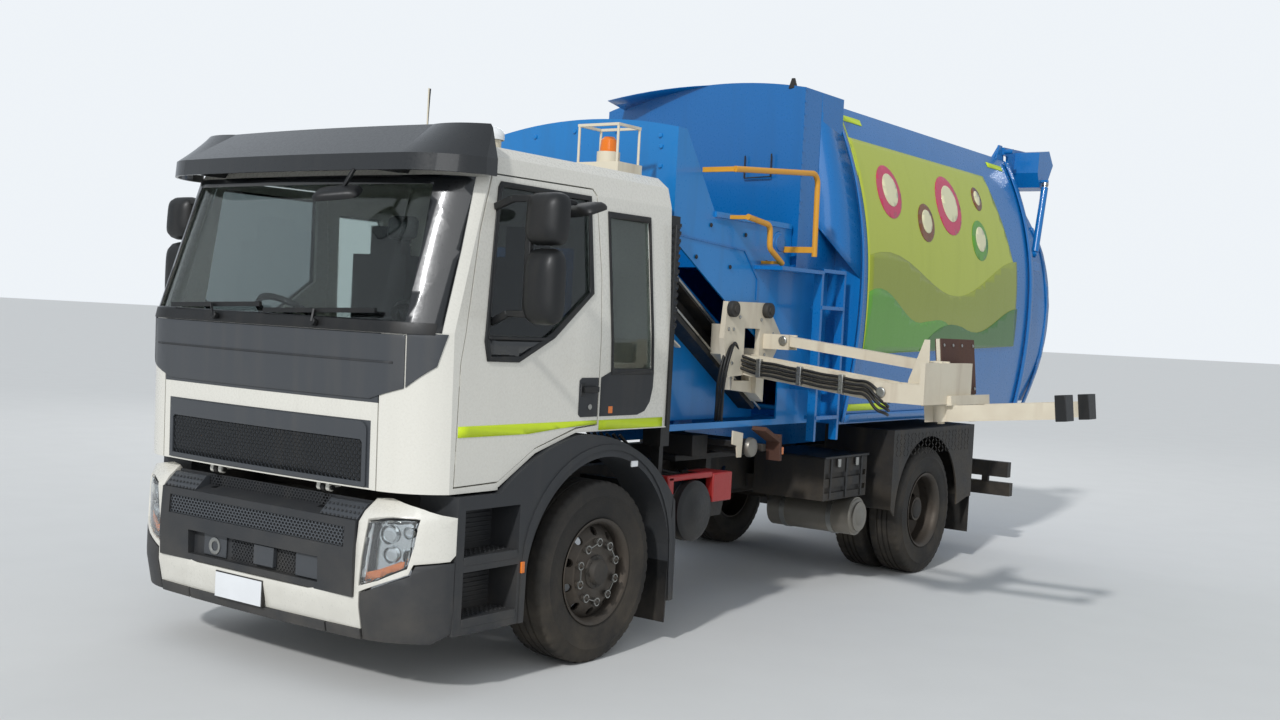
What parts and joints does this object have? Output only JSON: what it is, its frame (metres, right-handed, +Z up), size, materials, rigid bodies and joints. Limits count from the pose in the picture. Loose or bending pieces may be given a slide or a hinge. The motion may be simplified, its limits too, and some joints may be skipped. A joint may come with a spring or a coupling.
{
  "type": "side-loading garbage truck",
  "caption": "Cab-over refuse truck with a side hopper, a reach-out bin arm with gripper, a tipping packer body and a top-hung tailgate.",
  "frame": {"origin": "middle of the truck's box in plan, at ground height", "axes": "+Y runs backwards along the truck, so it faces -Y; +Z is up; +X points to the kerb side, where the arm reaches out"},
  "size_m": [4.6382, 8.4473, 3.7],
  "materials": {
    "cab_paint": "gloss",
    "body_paint": "gloss",
    "dark_plastic": "matte",
    "grey_plastic": "satin",
    "smoked_plastic": "gloss",
    "glass": "gloss",
    "lamp_glass": "gloss",
    "frame_paint": "satin",
    "tyre": "matte",
    "rim_steel": "satin",
    "box_paint": "satin",
    "tank_steel": "satin",
    "arm_paint": "satin",
    "rail_paint": "gloss",
    "seat_cloth": "matte",
    "cast": "matte",
    "rod_chrome": "gloss"
  },
  "bodies": {
    "chassis": {"chassis_frame": "frame_paint", "front_axle": "frame_paint", "rear_axle": "frame_paint", "engine_block": "cast", "front_bumper": "cab_paint", "bumper_grille": "grey_plastic", "headlamps": "lamp_glass", "front_guards": "dark_plastic", "tanks": "tank_steel", "side_boxes": "box_paint", "rear_guards": "frame_paint", "rear_bar": "frame_paint", "snorkel": "dark_plastic"},
    "cab": {"cab_shell": "cab_paint", "cab_glass": "glass", "sun_visor": "smoked_plastic", "wipers": "dark_plastic", "dashboard": "dark_plastic", "seats": "seat_cloth", "roof_fittings": "arm_paint"},
    "flap": {"front_flap": "cab_paint", "flap_panels": "grey_plastic"},
    "door_left": {"door_left": "cab_paint", "door_glass_left": "glass", "mirrors_left": "dark_plastic"},
    "door_right": {"door_right": "cab_paint", "door_glass_right": "glass", "mirrors_right": "dark_plastic"},
    "knuckle_left": {"knuckle_left": "frame_paint"},
    "knuckle_right": {"knuckle_right": "frame_paint"},
    "wheel_front_left": {"front_tyre_left": "tyre", "front_rim_left": "rim_steel"},
    "wheel_front_right": {"front_tyre_right": "tyre", "front_rim_right": "rim_steel"},
    "wheels_rear_left": {"rear_tyres_left": "tyre", "rear_rims_left": "rim_steel"},
    "wheels_rear_right": {"rear_tyres_right": "tyre", "rear_rims_right": "rim_steel"},
    "body": {"body_shell": "body_paint", "hopper": "body_paint", "ladder": "body_paint", "handrails": "rail_paint", "arm_track": "frame_paint"},
    "packer": {"packer_blade": "body_paint"},
    "carriage": {"carriage": "arm_paint"},
    "upper_link": {"upper_link": "arm_paint"},
    "lower_link": {"lower_link": "arm_paint"},
    "head": {"gripper_head": "arm_paint"},
    "finger_front": {"finger_front": "arm_paint"},
    "finger_rear": {"finger_rear": "arm_paint"},
    "tailgate": {"tailgate": "body_paint"},
    "gate_barrel_left": {"gate_barrel_left": "body_paint"},
    "gate_barrel_right": {"gate_barrel_right": "body_paint"},
    "gate_rod_left": {"gate_rod_left": "rod_chrome"},
    "gate_rod_right": {"gate_rod_right": "rod_chrome"},
    "hoist_barrel": {"hoist_barrel": "frame_paint"},
    "hoist_rod": {"hoist_rod": "rod_chrome"}
  },
  "joints": [
    {"name": "cab_tilt", "type": "hinge", "parent": "chassis", "child": "cab", "pos_m": [-0.75908, -4.09567, 1.002], "axis": [1, 0, 0], "range_deg": [0, 55]},
    {"name": "front_flap_lift", "type": "hinge", "parent": "cab", "child": "flap", "pos_m": [-0.75908, -4.19867, 1.8039], "axis": [-1, 0, 0], "range_deg": [0, 80]},
    {"name": "door_left_hinge", "type": "hinge", "parent": "cab", "child": "door_left", "pos_m": [0.39292, -3.92367, 1.8], "axis": [0, 0, -1], "range_deg": [0, 65]},
    {"name": "door_right_hinge", "type": "hinge", "parent": "cab", "child": "door_right", "pos_m": [-1.91108, -3.92367, 1.8], "axis": [0, 0, 1], "range_deg": [0, 65]},
    {"name": "steer_left", "type": "hinge", "parent": "chassis", "child": "knuckle_left", "pos_m": [0.09292, -2.72367, 0.51], "axis": [0, 0, 1], "range_deg": [-32, 32]},
    {"name": "steer_right", "type": "hinge", "parent": "chassis", "child": "knuckle_right", "pos_m": [-1.61108, -2.72367, 0.51], "axis": [0, 0, 1], "range_deg": [-32, 32]},
    {"name": "wheel_front_left_spin", "type": "hinge", "parent": "knuckle_left", "child": "wheel_front_left", "pos_m": [0.25292, -2.72367, 0.51], "axis": [1, 0, 0], "continuous": true},
    {"name": "wheel_front_right_spin", "type": "hinge", "parent": "knuckle_right", "child": "wheel_front_right", "pos_m": [-1.77108, -2.72367, 0.51], "axis": [1, 0, 0], "continuous": true},
    {"name": "wheels_rear_left_spin", "type": "hinge", "parent": "chassis", "child": "wheels_rear_left", "pos_m": [0.14092, 1.57633, 0.51], "axis": [1, 0, 0], "continuous": true},
    {"name": "wheels_rear_right_spin", "type": "hinge", "parent": "chassis", "child": "wheels_rear_right", "pos_m": [-1.65908, 1.57633, 0.51], "axis": [1, 0, 0], "continuous": true},
    {"name": "body_tip", "type": "hinge", "parent": "chassis", "child": "body", "pos_m": [-0.75908, 3.33633, 1.075], "axis": [-1, 0, 0], "range_deg": [0, 45]},
    {"name": "hoist_swing", "type": "hinge", "parent": "chassis", "child": "hoist_barrel", "pos_m": [-0.75908, 2.83633, 0.59], "axis": [-1, 0, 0], "range_deg": [0, 13.11]},
    {"name": "hoist_extend", "type": "slide", "parent": "hoist_barrel", "child": "hoist_rod", "axis": [0, 0, 1], "range_m": [0, 0.357]},
    {"name": "packer_stroke", "type": "slide", "parent": "body", "child": "packer", "axis": [0, 1, 0], "range_m": [0, 0.7]},
    {"name": "arm_carriage_travel", "type": "slide", "parent": "body", "child": "carriage", "axis": [0, -0.8566, 0.5159], "range_m": [-0.05, 0.38]},
    {"name": "arm_lift", "type": "hinge", "parent": "carriage", "child": "lower_link", "pos_m": [0.23092, -1.02367, 1.676], "axis": [0, -1, 0], "range_deg": [-12, 50]},
    {"name": "arm_upper_link", "type": "hinge", "parent": "carriage", "child": "upper_link", "pos_m": [0.44092, -0.81867, 1.84], "axis": [0, -1, 0], "range_deg": [-12, 50]},
    {"name": "head_level", "type": "hinge", "parent": "lower_link", "child": "head", "pos_m": [1.30092, -1.02367, 1.566], "axis": [0, -1, 0], "range_deg": [-50, 12]},
    {"name": "finger_front_turn", "type": "hinge", "parent": "head", "child": "finger_front", "pos_m": [1.51092, -0.73367, 1.5], "axis": [0.1045, 0, -0.9945], "range_deg": [-9, 45]},
    {"name": "finger_rear_turn", "type": "hinge", "parent": "head", "child": "finger_rear", "pos_m": [1.51092, -0.23367, 1.5], "axis": [-0.1045, 0, 0.9945], "range_deg": [-9, 45]},
    {"name": "tailgate_lift", "type": "hinge", "parent": "body", "child": "tailgate", "pos_m": [-0.75908, 3.42633, 3.64], "axis": [1, 0, 0], "range_deg": [0, 72]},
    {"name": "gate_barrel_left_swing", "type": "hinge", "parent": "body", "child": "gate_barrel_left", "pos_m": [0.46292, 3.60633, 2.715], "axis": [1, 0, 0], "range_deg": [0, 6.91]},
    {"name": "gate_rod_left_extend", "type": "slide", "parent": "gate_barrel_left", "child": "gate_rod_left", "axis": [0, 0.2409, 0.9706], "range_m": [0, 0.491]},
    {"name": "gate_barrel_right_swing", "type": "hinge", "parent": "body", "child": "gate_barrel_right", "pos_m": [-1.98108, 3.60633, 2.715], "axis": [1, 0, 0], "range_deg": [0, 6.91]},
    {"name": "gate_rod_right_extend", "type": "slide", "parent": "gate_barrel_right", "child": "gate_rod_right", "axis": [0, 0.2409, 0.9706], "range_m": [0, 0.491]}
  ],
  "couplings": [
    {"joint": "steer_right", "follows": "steer_left", "ratio": 1},
    {"joint": "hoist_swing", "follows": "body_tip", "ratio": 0.28025},
    {"joint": "hoist_extend", "follows": "body_tip", "m_per_rad": 0.45025},
    {"joint": "arm_upper_link", "follows": "arm_lift", "ratio": 1},
    {"joint": "head_level", "follows": "arm_lift", "ratio": -1},
    {"joint": "finger_rear_turn", "follows": "finger_front_turn", "ratio": 1},
    {"joint": "gate_barrel_left_swing", "follows": "tailgate_lift", "ratio": 0.08904},
    {"joint": "gate_rod_left_extend", "follows": "tailgate_lift", "m_per_rad": 0.38851},
    {"joint": "gate_barrel_right_swing", "follows": "tailgate_lift", "ratio": 0.08904},
    {"joint": "gate_rod_right_extend", "follows": "tailgate_lift", "m_per_rad": 0.38851}
  ]
}
